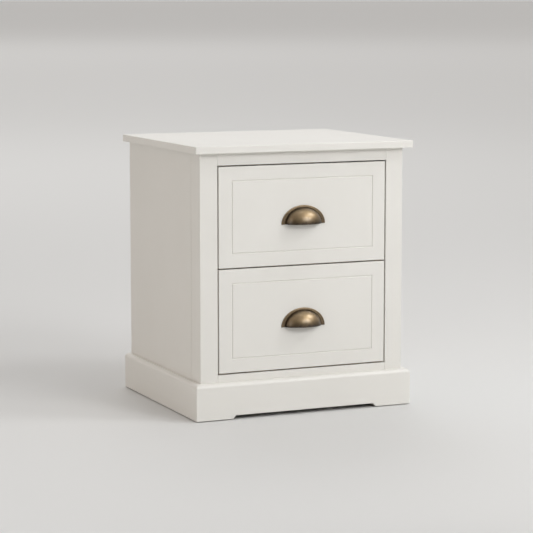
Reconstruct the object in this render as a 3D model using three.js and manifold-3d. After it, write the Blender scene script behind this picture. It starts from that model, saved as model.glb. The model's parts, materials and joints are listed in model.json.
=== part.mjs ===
// A painted nightstand with two inset drawers, in millimetres, +Z up.
// The front faces -Y, and the origin is on the floor at the middle of the whole object's box.
// The body is four posts, joined by rails, side panels, a bottom board and a back panel.
// A top board lies over it, and a plinth goes round the foot of its front and sides.
// Each drawer is a dovetailed box with an applied front and a cup pull, on two ball-bearing slides.
import * as THREE from "three";
import { mergeVertices } from "three/addons/utils/BufferGeometryUtils.js";
import Module from "manifold-3d";

const wasm = await Module();
wasm.setup();

// ---- Driving dimensions ----

// Whole object
const HEIGHT = 600;
const TOP_WIDTH = 524;
const BODY_WIDTH = 490;
const BODY_DEPTH = 439;
const BOARD = 16; // painted boards: top, sides, plinth
const TOP_OVERHANG = 19; // of the top board, in front of the body
const TOP_EASE = 1.5; // radius along all edges of the top board
const GLIDE_HEIGHT = 2;
const GLIDE_RADIUS = 11;

// Frame
const POST_WIDTH = 41;
const POST_DEPTH = 51;
const REAR_POST_DEPTH = 40;
const RAIL_DEPTH = 18;
const TOP_RAIL_HEIGHT = 27;
const BOTTOM_RAIL_TOP = 98;
const BOTTOM_RAIL_HEIGHT = 41;
const MID_RAIL_HEIGHT = 28;
const BACK_PANEL = 6;
const BOTTOM_BOARD = 9;
const BOTTOM_REBATE = 8; // how far the bottom board sits into the bottom rail
const PANEL_LIFT = 20; // lower edge of the side and back panels
const SEAT_GAP = 0.5; // round the bottom board where it is notched for the posts

// Plinth
const PLINTH_TOP = 82;
const PLINTH_ROUND = 9; // radius along its upper outer edge
const PLINTH_ROUND_STEPS = 9;
const MITRE_GAP = 0.3;
const CUTOUT_HALF_WIDTH = 174.5; // at its foot, where it is widest
const CUTOUT_SLOPE = 7; // what it loses at each end by its head
const CUTOUT_TOP = 9.5;

// Drawer fronts
const FRONT_BOARD = 18;
const FRONT_GAP = 3;
const DRAWER_SPLIT = 331; // middle of the gap between the two fronts
const GROOVE_MARGIN = 31.5; // from a front's edge to the middle of its groove
const GROOVE_WIDTH = 3;
const GROOVE_DEPTH = 1.4;
const GROOVE_FLOOR = 0.4;

// Drawer boxes
const BOX_BOARD = 12;
const BOX_HEIGHT = 180;
const BOX_LENGTH = 350;
const BOX_LIFT = 16; // of the box, above the lower edge of its front
const BOX_BOTTOM = 6;
const BOTTOM_LIFT = 12; // of the bottom panel, above the lower edge of the box
const GROOVE_REACH = 6; // of the grooves that hold the bottom panel
const SLIP = 0.3;
const TAILS = 5;
const TAIL_WIDTH = 20; // at its end, where it is widest
const TAIL_SLOPE = 2; // what a tail loses on each flank by its root
const GLUE_LINE = 0.1;

// Slides
const SLIDE_THICKNESS = 12.75; // with a little play over the stock 12.7
const SLIDE_LENGTH = 350;
const SLIDE_SETBACK = 3; // behind the applied front
const SLIDE_LIFT = 70; // middle of a slide, above the lower edge of its box
const SLIDE_SHEET = 1.2;
const OUTER_HALF_HEIGHT = 17.5;
const OUTER_REACH = 10;
const OUTER_LIP = 2.5;
const INNER_HALF_HEIGHT = 12.1;
const CAGE_SHEET = 0.8;
const CAGE_HALF_HEIGHT = 14.6;
const CAGE_REACH = [1.5, 8.2]; // from the cabinet's side, across the slide
const CAGE_LENGTH = 90;
const CAGE_START = 132; // from the front end of the slide, with the drawer shut
const BALL_RADIUS = 2;
const BALL_PITCH = 15;
const BALLS = 6; // along each raceway
const PACKER_HEIGHT = 60;

// Cup pulls
const PULL_HALF_WIDTH = 52.5;
const PULL_HEIGHT = 41.5;
const PULL_PROJECTION = 26;
const PULL_WALL = 1.8;
const FLANGE_SIDE = 9.5;
const FLANGE_TOP = 6;
const FLANGE_THICKNESS = 2.5;
const BOSS_RADIUS = 4.5;
const BOSS_SPACING = 64;
const BOSS_LIFT = 12;
const BOSS_HOLE_DEPTH = 8;

// Screws
const SCREW_RADIUS = 2;
const SCREW_HEAD_RADIUS = 4;
const SCREW_NECK = 2.2; // depth of a countersunk head
const SCREW_TIP = 3;
const SCREW_PLAY = 0.3; // from a screw to the wall of its hole
const PULL_SCREW_REACH = 6; // into the pull's boss
const TOP_SCREW_LENGTH = 35;
const TOP_SCREW_SPACING = 240;

// ---- Places worked out from them ----

const BACK = (BODY_DEPTH + PULL_PROJECTION) / 2;
const FRONT = BACK - BODY_DEPTH;
const HALF_BODY = BODY_WIDTH / 2;
const HALF_OPENING = HALF_BODY - POST_WIDTH;
const PANEL_INSIDE = HALF_BODY - BOARD;
const TOP_UNDERSIDE = HEIGHT - BOARD;
const REAR_FACE = BACK - BACK_PANEL; // rear face of the rear posts and rails
const FRONT_HALF_WIDTH = HALF_OPENING - FRONT_GAP;
const BOX_HALF_WIDTH = HALF_OPENING - SLIDE_THICKNESS;
const BOX_INSIDE = BOX_HALF_WIDTH - BOX_BOARD;
const BOX_FRONT = FRONT + FRONT_BOARD;
const BOX_BACK = BOX_FRONT + BOX_LENGTH;
const SLIDE_FRONT = BOX_FRONT + SLIDE_SETBACK;

const SIDES = [
  { name: "left", sign: -1 },
  { name: "right", sign: 1 },
];

const DRAWERS = [
  {
    name: "upper",
    bottom: DRAWER_SPLIT + FRONT_GAP / 2,
    top: TOP_UNDERSIDE - TOP_RAIL_HEIGHT - FRONT_GAP,
  },
  {
    name: "lower",
    bottom: BOTTOM_RAIL_TOP + FRONT_GAP,
    top: DRAWER_SPLIT - FRONT_GAP / 2,
  },
].map((drawer) => ({
  ...drawer,
  middle: (drawer.bottom + drawer.top) / 2,
  boxBottom: drawer.bottom + BOX_LIFT,
  pullBottom: (drawer.bottom + drawer.top - PULL_HEIGHT) / 2,
}));

// ---- Finishes ----

function finish(color, roughness, metalness = 0) {
  return new THREE.MeshStandardMaterial({ color, roughness, metalness });
}

const paint = finish(0xe3dfd6, 0.45);
const pine = finish(0xd2b283, 0.7);
const birch = finish(0xdcc49b, 0.6);
const hardboard = finish(0xd8d2c4, 0.75);
const antiqueBrass = finish(0x8f7344, 0.35, 1);
const zincSteel = finish(0xb5b8ba, 0.35, 1);
const nylon = finish(0x6b655c, 0.8);

// ---- Shapes ----

const group = new THREE.Group();

function add(name, geometry, material) {
  const mesh = new THREE.Mesh(geometry, material);
  mesh.name = name;
  group.add(mesh);
}

// A box between two coordinates along each axis, given in either order.
function block([x0, x1], [y0, y1], [z0, z1]) {
  const size = [Math.abs(x1 - x0), Math.abs(y1 - y0), Math.abs(z1 - z0)];
  return new THREE.BoxGeometry(...size).translate((x0 + x1) / 2, (y0 + y1) / 2, (z0 + z1) / 2);
}

function extrude(points, depth) {
  const shape = new THREE.Shape(points.map(([a, b]) => new THREE.Vector2(a, b)));
  return new THREE.ExtrudeGeometry(shape, { depth, bevelEnabled: false });
}

// An outline of [y, z] points, extruded from x0 to x1.
function prismX(points, x0, x1) {
  const turn = new THREE.Matrix4().set(0, 0, 1, x0, 1, 0, 0, 0, 0, 1, 0, 0, 0, 0, 0, 1);
  return extrude(points, x1 - x0).applyMatrix4(turn);
}

// An outline of [x, z] points, extruded from y0 to y1.
function prismY(points, y0, y1) {
  const turn = new THREE.Matrix4().set(0, 1, 0, 0, 0, 0, 1, y0, 1, 0, 0, 0, 0, 0, 0, 1);
  return extrude(points.map(([x, z]) => [z, x]), y1 - y0).applyMatrix4(turn);
}

// An outline of [x, y] points, extruded from z0 to z1.
function prismZ(points, z0, z1) {
  return extrude(points, z1 - z0).translate(0, 0, z0);
}

// A profile of [radius, height] points turned about Z.
function turned(profile, segments = 16) {
  const points = profile.map(([radius, height]) => new THREE.Vector2(radius, height));
  return new THREE.LatheGeometry(points, segments).rotateX(Math.PI / 2);
}

function ellipsoid(halfX, halfY, halfZ) {
  return new THREE.SphereGeometry(1, 28, 14).scale(halfX, halfY, halfZ);
}

// The points of an arc round [a, b], from one angle to another in degrees.
function arc(a, b, radius, from, to, steps) {
  return Array.from({ length: steps + 1 }, (_, i) => {
    const angle = THREE.MathUtils.degToRad(from + ((to - from) * i) / steps);
    return [a + radius * Math.cos(angle), b + radius * Math.sin(angle)];
  });
}

function solid(geometry) {
  const bare = geometry.clone();
  bare.deleteAttribute("normal");
  bare.deleteAttribute("uv");
  const merged = mergeVertices(bare);
  const vertProperties = new Float32Array(merged.attributes.position.array);
  const triVerts = new Uint32Array(merged.index.array);
  return new wasm.Manifold(new wasm.Mesh({ numProp: 3, vertProperties, triVerts }));
}

function geometryOf(made) {
  const mesh = made.getMesh();
  const geometry = new THREE.BufferGeometry();
  geometry.setAttribute("position", new THREE.BufferAttribute(mesh.vertProperties, 3));
  geometry.setIndex(new THREE.BufferAttribute(mesh.triVerts, 1));
  return geometry;
}

function cut(geometry, tools) {
  return geometryOf(tools.reduce((made, tool) => made.subtract(solid(tool)), solid(geometry)));
}

// ---- Screws ----

// A countersunk wood screw with its head at z = 0 and its tip up.
function woodScrew() {
  return turned([
    [0, 0],
    [SCREW_HEAD_RADIUS, 0],
    [SCREW_RADIUS, SCREW_NECK],
    [SCREW_RADIUS, TOP_SCREW_LENGTH - SCREW_TIP],
    [0, TOP_SCREW_LENGTH],
  ]);
}

// The hole for a wood screw, from just outside the face that its head is let into.
function woodScrewHole() {
  return turned([
    [0, -1],
    [SCREW_HEAD_RADIUS + SCREW_PLAY, -1],
    [SCREW_HEAD_RADIUS + SCREW_PLAY, 0],
    [SCREW_RADIUS + SCREW_PLAY, SCREW_NECK],
    [SCREW_RADIUS + SCREW_PLAY, TOP_SCREW_LENGTH - SCREW_TIP],
    [0, TOP_SCREW_LENGTH + SCREW_PLAY],
  ]);
}

// A pan-head machine screw with the underside of its head at z = 0 and its tip up.
function panScrew(length) {
  const headHeight = 2.4;
  return turned([
    [0, -headHeight],
    [SCREW_HEAD_RADIUS * 0.7, -headHeight],
    [SCREW_HEAD_RADIUS, -headHeight * 0.55],
    [SCREW_HEAD_RADIUS, 0],
    [SCREW_RADIUS, 0],
    [SCREW_RADIUS, length],
    [0, length],
  ]);
}

const TOP_SCREWS = [
  { name: "front", y: FRONT + RAIL_DEPTH / 2 },
  { name: "rear", y: REAR_FACE - RAIL_DEPTH / 2 },
].flatMap(({ name, y }) =>
  SIDES.map((side) => ({
    name: `${name}_${side.name}`,
    place: [(side.sign * TOP_SCREW_SPACING) / 2, y, TOP_UNDERSIDE - TOP_RAIL_HEIGHT],
  })),
);

function topScrewHoles(row) {
  return TOP_SCREWS.filter((screw) => screw.name.startsWith(row)).map((screw) =>
    woodScrewHole().translate(...screw.place),
  );
}

// ---- Body ----

// The top board's edges are all eased by the same small radius.
function easedTop() {
  const x = TOP_WIDTH / 2 - TOP_EASE;
  const near = FRONT - TOP_OVERHANG + TOP_EASE;
  const far = BACK - TOP_EASE;
  const outline = new THREE.Shape(
    [
      [-x, near],
      [x, near],
      [x, far],
      [-x, far],
    ].map(([a, b]) => new THREE.Vector2(a, b)),
  );
  const board = new THREE.ExtrudeGeometry(outline, {
    depth: BOARD - 2 * TOP_EASE,
    bevelSize: TOP_EASE,
    bevelThickness: TOP_EASE,
    bevelSegments: 4,
  });
  return board.translate(0, 0, TOP_UNDERSIDE + TOP_EASE);
}

function addTop() {
  const board = easedTop();
  add("top_board", cut(board, [...topScrewHoles("front"), ...topScrewHoles("rear")]), paint);
  for (const screw of TOP_SCREWS) {
    add(`top_screw_${screw.name}`, woodScrew().translate(...screw.place), zincSteel);
  }
}

function addPosts() {
  for (const { name, sign } of SIDES) {
    const post = block(
      [sign * HALF_OPENING, sign * HALF_BODY],
      [FRONT, FRONT + POST_DEPTH],
      [GLIDE_HEIGHT, TOP_UNDERSIDE],
    );
    add(`front_post_${name}`, post, paint);
    const rearPost = block(
      [sign * HALF_OPENING, sign * PANEL_INSIDE],
      [REAR_FACE - REAR_POST_DEPTH, REAR_FACE],
      [GLIDE_HEIGHT, TOP_UNDERSIDE],
    );
    add(`rear_post_${name}`, rearPost, pine);
    addGlide(`glide_front_${name}`, sign * (HALF_BODY - POST_WIDTH / 2), FRONT + POST_DEPTH / 2);
    const rearX = sign * ((HALF_OPENING + PANEL_INSIDE) / 2);
    addGlide(`glide_rear_${name}`, rearX, REAR_FACE - REAR_POST_DEPTH / 2);
  }
}

function addGlide(name, x, y) {
  const glide = new THREE.CylinderGeometry(GLIDE_RADIUS, GLIDE_RADIUS, GLIDE_HEIGHT, 20);
  add(name, glide.rotateX(Math.PI / 2).translate(x, y, GLIDE_HEIGHT / 2), nylon);
}

function addPanels() {
  for (const { name, sign } of SIDES) {
    const panel = block(
      [sign * PANEL_INSIDE, sign * HALF_BODY],
      [FRONT + POST_DEPTH, BACK],
      [PANEL_LIFT, TOP_UNDERSIDE],
    );
    add(`side_panel_${name}`, panel, paint);
  }
  const back = block([-PANEL_INSIDE, PANEL_INSIDE], [REAR_FACE, BACK], [PANEL_LIFT, TOP_UNDERSIDE]);
  add("back_panel", back, hardboard);
}

function addRails() {
  const across = [-HALF_OPENING, HALF_OPENING];
  const frontDepth = [FRONT, FRONT + RAIL_DEPTH];
  const rearDepth = [REAR_FACE - RAIL_DEPTH, REAR_FACE];
  const topHeight = [TOP_UNDERSIDE - TOP_RAIL_HEIGHT, TOP_UNDERSIDE];
  add("top_rail", cut(block(across, frontDepth, topHeight), topScrewHoles("front")), paint);
  add("rear_top_rail", cut(block(across, rearDepth, topHeight), topScrewHoles("rear")), pine);

  const midDepth = [BOX_FRONT + 1, BOX_FRONT + 1 + RAIL_DEPTH];
  const midHeight = [DRAWER_SPLIT - MID_RAIL_HEIGHT / 2, DRAWER_SPLIT + MID_RAIL_HEIGHT / 2];
  add("mid_rail", block(across, midDepth, midHeight), pine);

  const foot = BOTTOM_RAIL_TOP - BOTTOM_RAIL_HEIGHT;
  const seat = BOTTOM_RAIL_TOP - BOTTOM_BOARD;
  const rebate = FRONT + RAIL_DEPTH - BOTTOM_REBATE;
  const section = [
    [FRONT, foot],
    [FRONT + RAIL_DEPTH, foot],
    [FRONT + RAIL_DEPTH, seat],
    [rebate, seat],
    [rebate, BOTTOM_RAIL_TOP],
    [FRONT, BOTTOM_RAIL_TOP],
  ];
  add("bottom_rail", prismX(section, ...across), paint);
  add("rear_bottom_rail", block(across, rearDepth, [foot, seat]), pine);
}

// The bottom board is notched round all four posts.
function addBottomBoard() {
  const narrow = HALF_OPENING - SEAT_GAP;
  const wide = PANEL_INSIDE - SEAT_GAP;
  const frontEdge = FRONT + RAIL_DEPTH - BOTTOM_REBATE + SEAT_GAP;
  const frontNotch = FRONT + POST_DEPTH + SEAT_GAP;
  const rearNotch = REAR_FACE - REAR_POST_DEPTH - SEAT_GAP;
  const rearEdge = REAR_FACE - SEAT_GAP;
  const half = [
    [narrow, frontEdge],
    [narrow, frontNotch],
    [wide, frontNotch],
    [wide, rearNotch],
    [narrow, rearNotch],
    [narrow, rearEdge],
  ];
  const outline = [...half, ...half.map(([x, y]) => [-x, y]).reverse()];
  add("bottom_board", prismZ(outline, BOTTOM_RAIL_TOP - BOTTOM_BOARD, BOTTOM_RAIL_TOP), birch);
}

// ---- Plinth ----

// The plinth's section, from its inner face at 0 to its outer face at BOARD, with a rounded upper edge.
function plinthSection() {
  const height = PLINTH_TOP - PLINTH_ROUND;
  const bend = arc(BOARD - PLINTH_ROUND, height, PLINTH_ROUND, 0, 90, PLINTH_ROUND_STEPS);
  return [[0, GLIDE_HEIGHT], [BOARD, GLIDE_HEIGHT], ...bend, [0, PLINTH_TOP]];
}

// A wedge that takes off the corner outside the 45-degree plane through (HALF_BODY, FRONT),
// from the front board's end or, with the same plane, from a side board's end.
function mitreTool(sign, forFront) {
  const far = BOARD + 1;
  const gap = (MITRE_GAP / 2) * Math.SQRT1_2;
  const corner = [
    [sign * (HALF_BODY - 1), FRONT + 1],
    [sign * (HALF_BODY + far), FRONT - far],
    forFront ? [sign * (HALF_BODY + far), FRONT + 1] : [sign * (HALF_BODY - 1), FRONT - far],
  ];
  const shift = forFront ? -gap : gap;
  return prismZ(corner, 0, PLINTH_TOP + 1).translate(sign * shift, shift, 0);
}

function addPlinth() {
  const section = plinthSection();
  const reach = HALF_BODY + BOARD;
  const frontBoard = prismX(section.map(([out, z]) => [FRONT - out, z]), -reach, reach);
  const foot = CUTOUT_HALF_WIDTH;
  const head = foot - CUTOUT_SLOPE;
  const cutout = [
    [-foot, GLIDE_HEIGHT - 1],
    [foot, GLIDE_HEIGHT - 1],
    [foot, GLIDE_HEIGHT],
    [head, CUTOUT_TOP],
    [-head, CUTOUT_TOP],
    [-foot, GLIDE_HEIGHT],
  ];
  const frontTools = [
    mitreTool(-1, true),
    mitreTool(1, true),
    prismY(cutout, FRONT - BOARD - 1, FRONT + 1),
  ];
  add("plinth_front", cut(frontBoard, frontTools), paint);
  for (const { name, sign } of SIDES) {
    const outline = section.map(([out, z]) => [sign * (HALF_BODY + out), z]);
    const sideBoard = prismY(outline, FRONT - BOARD, BACK);
    add(`plinth_${name}`, cut(sideBoard, [mitreTool(sign, false)]), paint);
  }
}

// ---- Slides ----

// A slide's section is drawn from the cabinet's side, at 0, to the drawer's side, at SLIDE_THICKNESS.
function slidePart(section, sign, height, front, length) {
  const outline = section.map(([across, up]) => [sign * (HALF_OPENING - across), height + up]);
  return prismY(outline, front, front + length);
}

// A channel whose back runs from -half to half and whose two flanges reach from back to tip.
function channel(back, tip, half, sheet) {
  const inside = back + Math.sign(tip - back) * sheet;
  return [
    [back, -half],
    [tip, -half],
    [tip, sheet - half],
    [inside, sheet - half],
    [inside, half - sheet],
    [tip, half - sheet],
    [tip, half],
    [back, half],
  ];
}

// The cabinet member's flanges end in lips that keep the balls in.
function outerSection() {
  const half = OUTER_HALF_HEIGHT;
  const lip = half - SLIDE_SHEET - OUTER_LIP;
  const lipInside = OUTER_REACH - SLIDE_SHEET;
  const upper = [
    [SLIDE_SHEET, half - SLIDE_SHEET],
    [lipInside, half - SLIDE_SHEET],
    [lipInside, lip],
    [OUTER_REACH, lip],
    [OUTER_REACH, half],
    [0, half],
  ];
  return [...upper.map(([across, up]) => [across, -up]).reverse(), ...upper];
}

// A cage with its balls, which run between the flanges of the two members.
function ballCage(sign, height) {
  const section = channel(...CAGE_REACH, CAGE_HALF_HEIGHT, CAGE_SHEET);
  const front = SLIDE_FRONT + CAGE_START;
  const strip = solid(slidePart(section, sign, height, front, CAGE_LENGTH));
  const first = front + (CAGE_LENGTH - (BALLS - 1) * BALL_PITCH) / 2;
  const x = sign * (HALF_OPENING - SLIDE_THICKNESS / 2);
  const raceway = CAGE_HALF_HEIGHT - CAGE_SHEET / 2;
  const balls = [-raceway, raceway].flatMap((up) =>
    Array.from({ length: BALLS }, (_, i) => {
      const ball = new THREE.IcosahedronGeometry(BALL_RADIUS, 1);
      return solid(ball.translate(x, first + i * BALL_PITCH, height + up));
    }),
  );
  return geometryOf(balls.reduce((made, ball) => made.add(ball), strip));
}

function addSlides(drawer) {
  const height = drawer.boxBottom + SLIDE_LIFT;
  const innerTip = SLIDE_THICKNESS - OUTER_REACH;
  const inner = channel(SLIDE_THICKNESS, innerTip, INNER_HALF_HEIGHT, SLIDE_SHEET);
  for (const { name, sign } of SIDES) {
    const label = `${drawer.name}_${name}`;
    const packer = block(
      [sign * HALF_OPENING, sign * PANEL_INSIDE],
      [FRONT + POST_DEPTH, REAR_FACE - REAR_POST_DEPTH],
      [height - PACKER_HEIGHT / 2, height + PACKER_HEIGHT / 2],
    );
    add(`slide_packer_${label}`, packer, pine);
    const outerPart = slidePart(outerSection(), sign, height, SLIDE_FRONT, SLIDE_LENGTH);
    add(`slide_outer_${label}`, outerPart, zincSteel);
    const innerPart = slidePart(inner, sign, height, SLIDE_FRONT, SLIDE_LENGTH);
    add(`slide_inner_${label}`, innerPart, zincSteel);
    add(`ball_cage_${label}`, ballCage(sign, height), zincSteel);
  }
}

// ---- Drawers ----

// The V-groove that runs round a front as a frame, as the space between two frusta.
function grooveTool(drawer) {
  const halfX = FRONT_HALF_WIDTH - GROOVE_MARGIN;
  const halfZ = (drawer.top - drawer.bottom) / 2 - GROOVE_MARGIN;
  const over = 0.5; // how far the tool stands out of the face
  const flank = (GROOVE_WIDTH - GROOVE_FLOOR) / 2 / GROOVE_DEPTH;
  const mouth = GROOVE_FLOOR / 2 + flank * (GROOVE_DEPTH + over);
  const floor = GROOVE_FLOOR / 2;
  const outer = frustum(halfX + mouth, halfZ + mouth, halfX + floor, halfZ + floor, over);
  const inner = frustum(halfX - mouth, halfZ - mouth, halfX - floor, halfZ - floor, over);
  return cut(outer, [inner]).translate(0, FRONT, drawer.middle);
}

// A box along Y whose half sizes change from its near end, in front of the face, to the groove's floor.
function frustum(nearX, nearZ, farX, farZ, over) {
  const geometry = block([-1, 1], [-over, GROOVE_DEPTH], [-1, 1]);
  const position = geometry.attributes.position;
  for (let i = 0; i < position.count; i++) {
    const near = position.getY(i) < 0;
    position.setX(i, position.getX(i) * (near ? nearX : farX));
    position.setZ(i, position.getZ(i) * (near ? nearZ : farZ));
  }
  return geometry;
}

// Where a drawer's pull screws run, as the x of each.
const PULL_SCREW_X = SIDES.map(({ sign }) => (sign * BOSS_SPACING) / 2);

function pullScrewHoles(drawer) {
  const radius = SCREW_RADIUS + SCREW_PLAY;
  const length = FRONT_BOARD + BOX_BOARD + 2;
  return PULL_SCREW_X.map((x) =>
    new THREE.CylinderGeometry(radius, radius, length, 16).translate(
      x,
      FRONT + length / 2 - 1,
      drawer.pullBottom + BOSS_LIFT,
    ),
  );
}

// The middle height of each dovetail above the box's lower edge.
const TAIL_MIDDLES = Array.from({ length: TAILS }, (_, i) => ((i + 0.5) * BOX_HEIGHT) / TAILS);

// One dovetail as [y, z] points, from its root, at the board's shoulder, out to its end and back.
// It can be widened by grow and lengthened, at the same slope, by over.
function tail(root, direction, middle, grow = 0, over = 0) {
  const end = root + direction * (BOX_BOARD + over);
  const narrow = TAIL_WIDTH / 2 - TAIL_SLOPE + grow;
  const wide = narrow + (TAIL_SLOPE * (BOX_BOARD + over)) / BOX_BOARD;
  return [
    [root, middle - narrow],
    [end, middle - wide],
    [end, middle + wide],
    [root, middle + narrow],
  ];
}

const FRONT_ROOT = BOX_FRONT + BOX_BOARD;
const BACK_ROOT = BOX_BACK - BOX_BOARD;

// The lowest tail at the back runs on to the lower edge, as the back board ends above the bottom panel.
function boxSide(drawer, sign) {
  const base = drawer.boxBottom;
  const frontEnd = TAIL_MIDDLES.flatMap((middle) => tail(FRONT_ROOT, -1, base + middle));
  const backEnd = TAIL_MIDDLES.flatMap((middle) => tail(BACK_ROOT, 1, base + middle)).slice(2);
  const outline = [
    [FRONT_ROOT, base],
    ...frontEnd,
    [FRONT_ROOT, base + BOX_HEIGHT],
    [BACK_ROOT, base + BOX_HEIGHT],
    ...backEnd.reverse(),
    [BOX_BACK, base],
  ];
  const x = [sign * BOX_INSIDE, sign * BOX_HALF_WIDTH].sort((a, b) => a - b);
  const groove = block(
    [sign * (BOX_INSIDE - 1), sign * (BOX_INSIDE + GROOVE_REACH)],
    [FRONT_ROOT - GROOVE_REACH, BOX_BACK + 1],
    grooveHeight(drawer),
  );
  return cut(prismX(outline, ...x), [groove]);
}

function grooveHeight(drawer) {
  const panel = drawer.boxBottom + BOTTOM_LIFT;
  return [panel - SLIP / 2, panel + BOX_BOTTOM + SLIP / 2];
}

// The spaces that the sides' tails need in the board that they meet.
function tailSockets(drawer, root, direction) {
  return SIDES.flatMap(({ sign }) => {
    const x = [sign * BOX_INSIDE, sign * (BOX_HALF_WIDTH + 1)].sort((a, b) => a - b);
    return TAIL_MIDDLES.map((middle) =>
      prismX(tail(root, direction, drawer.boxBottom + middle, GLUE_LINE, 1), ...x),
    );
  });
}

function addDrawer(drawer) {
  const across = [-BOX_HALF_WIDTH, BOX_HALF_WIDTH];
  const base = drawer.boxBottom;
  const screwHoles = pullScrewHoles(drawer);

  const face = block(
    [-FRONT_HALF_WIDTH, FRONT_HALF_WIDTH],
    [FRONT, BOX_FRONT],
    [drawer.bottom, drawer.top],
  );
  add(`${drawer.name}_front`, cut(face, [grooveTool(drawer), ...screwHoles]), paint);

  const frontGroove = block(
    [-BOX_INSIDE - GROOVE_REACH, BOX_INSIDE + GROOVE_REACH],
    [FRONT_ROOT - GROOVE_REACH, FRONT_ROOT + 1],
    grooveHeight(drawer),
  );
  const boxFront = block(across, [BOX_FRONT, FRONT_ROOT], [base, base + BOX_HEIGHT]);
  const frontTools = [frontGroove, ...tailSockets(drawer, FRONT_ROOT, -1), ...screwHoles];
  add(`${drawer.name}_box_front`, cut(boxFront, frontTools), birch);

  const backFoot = base + BOTTOM_LIFT + BOX_BOTTOM + SLIP;
  const boxBack = block(across, [BACK_ROOT, BOX_BACK], [backFoot, base + BOX_HEIGHT]);
  add(`${drawer.name}_box_back`, cut(boxBack, tailSockets(drawer, BACK_ROOT, 1)), birch);

  for (const { name, sign } of SIDES) {
    add(`${drawer.name}_box_side_${name}`, boxSide(drawer, sign), birch);
  }

  const panelReach = BOX_INSIDE + GROOVE_REACH - SLIP;
  const panel = block(
    [-panelReach, panelReach],
    [FRONT_ROOT - GROOVE_REACH + SLIP, BOX_BACK],
    [base + BOTTOM_LIFT, base + BOTTOM_LIFT + BOX_BOTTOM],
  );
  add(`${drawer.name}_box_bottom`, panel, birch);
}

// ---- Cup pulls ----

// The pull's frame: its lower edge at z = 0, the drawer front at y = 0, standing out towards -Y.
function cupPull() {
  const domeHalfWidth = PULL_HALF_WIDTH - FLANGE_SIDE;
  const domeHeight = PULL_HEIGHT - FLANGE_TOP;
  const dome = solid(ellipsoid(domeHalfWidth, PULL_PROJECTION, domeHeight));
  const hollow = solid(
    ellipsoid(domeHalfWidth - PULL_WALL, PULL_PROJECTION - PULL_WALL, domeHeight - PULL_WALL),
  );
  const reach = PULL_HALF_WIDTH + 1;
  const keep = solid(block([-reach, reach], [-PULL_PROJECTION - 1, 0], [0, PULL_HEIGHT + 1]));
  const outline = arc(0, 0, 1, 0, 180, 28).map(([x, z]) => [x * PULL_HALF_WIDTH, z * PULL_HEIGHT]);
  const flange = solid(prismY(outline, -FLANGE_THICKNESS, 0));
  const shell = dome.intersect(keep).add(flange).subtract(hollow);
  return geometryOf(PULL_SCREW_X.reduce((made, x) => addBoss(made, dome, x), shell));
}

// A round boss inside the dome, with a hole for its screw.
function addBoss(made, dome, x) {
  const boss = new THREE.CylinderGeometry(BOSS_RADIUS, BOSS_RADIUS, PULL_PROJECTION, 16);
  const radius = SCREW_RADIUS + SCREW_PLAY;
  const hole = new THREE.CylinderGeometry(radius, radius, BOSS_HOLE_DEPTH + 1, 16);
  return made
    .add(solid(boss.translate(x, -PULL_PROJECTION / 2, BOSS_LIFT)).intersect(dome))
    .subtract(solid(hole.translate(x, (1 - BOSS_HOLE_DEPTH) / 2, BOSS_LIFT)));
}

function addPull(drawer) {
  add(`${drawer.name}_pull`, cupPull().translate(0, FRONT, drawer.pullBottom), antiqueBrass);
  SIDES.forEach(({ name }, i) => {
    const screw = panScrew(BOX_BOARD + FRONT_BOARD + PULL_SCREW_REACH).rotateX(Math.PI / 2);
    screw.translate(PULL_SCREW_X[i], FRONT_ROOT, drawer.pullBottom + BOSS_LIFT);
    add(`${drawer.name}_pull_screw_${name}`, screw, zincSteel);
  });
}

// ---- The whole nightstand ----

addTop();
addPosts();
addPanels();
addRails();
addBottomBoard();
addPlinth();
for (const drawer of DRAWERS) {
  addSlides(drawer);
  addDrawer(drawer);
  addPull(drawer);
}

export default group;
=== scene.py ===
import json
import math
import random
import bmesh
import bpy
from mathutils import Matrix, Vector

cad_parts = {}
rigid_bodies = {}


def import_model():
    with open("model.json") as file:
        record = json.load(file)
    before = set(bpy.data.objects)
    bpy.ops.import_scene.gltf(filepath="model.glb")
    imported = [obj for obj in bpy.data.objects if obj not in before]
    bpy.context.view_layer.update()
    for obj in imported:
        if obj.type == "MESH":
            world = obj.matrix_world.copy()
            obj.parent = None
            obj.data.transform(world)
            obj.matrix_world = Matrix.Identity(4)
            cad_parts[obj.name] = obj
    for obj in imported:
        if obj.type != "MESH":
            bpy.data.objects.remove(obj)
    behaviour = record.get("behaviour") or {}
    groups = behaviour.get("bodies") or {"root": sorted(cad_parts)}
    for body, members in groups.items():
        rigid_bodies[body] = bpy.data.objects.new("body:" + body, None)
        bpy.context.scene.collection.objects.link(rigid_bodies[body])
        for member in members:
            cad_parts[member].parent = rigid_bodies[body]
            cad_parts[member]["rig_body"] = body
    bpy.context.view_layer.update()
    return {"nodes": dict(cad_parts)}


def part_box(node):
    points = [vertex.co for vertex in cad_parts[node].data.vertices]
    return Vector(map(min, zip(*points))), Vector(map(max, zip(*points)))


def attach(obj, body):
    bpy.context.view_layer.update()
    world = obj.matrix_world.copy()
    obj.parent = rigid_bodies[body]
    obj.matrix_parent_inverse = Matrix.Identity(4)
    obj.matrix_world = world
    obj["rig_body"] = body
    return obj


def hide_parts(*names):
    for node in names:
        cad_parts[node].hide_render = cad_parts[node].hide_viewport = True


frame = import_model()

mm = 0.001
weld = 2e-6  # points nearer than this are one
drawers = ("upper", "lower")
sides = (("left", -1), ("right", 1))
bodyOf = {name: obj["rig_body"] for name, obj in frame["nodes"].items()}
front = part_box("front_post_left")[0].y  # face of the body
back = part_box("back_panel")[1].y
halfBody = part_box("side_panel_right")[1].x


# colours and nodes

def colour(code):
    parts = [int(code[i:i + 2], 16) / 255 for i in (0, 2, 4)]
    return (*[p / 12.92 if p <= 0.04045 else ((p + 0.055) / 1.055) ** 2.4 for p in parts], 1)


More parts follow.
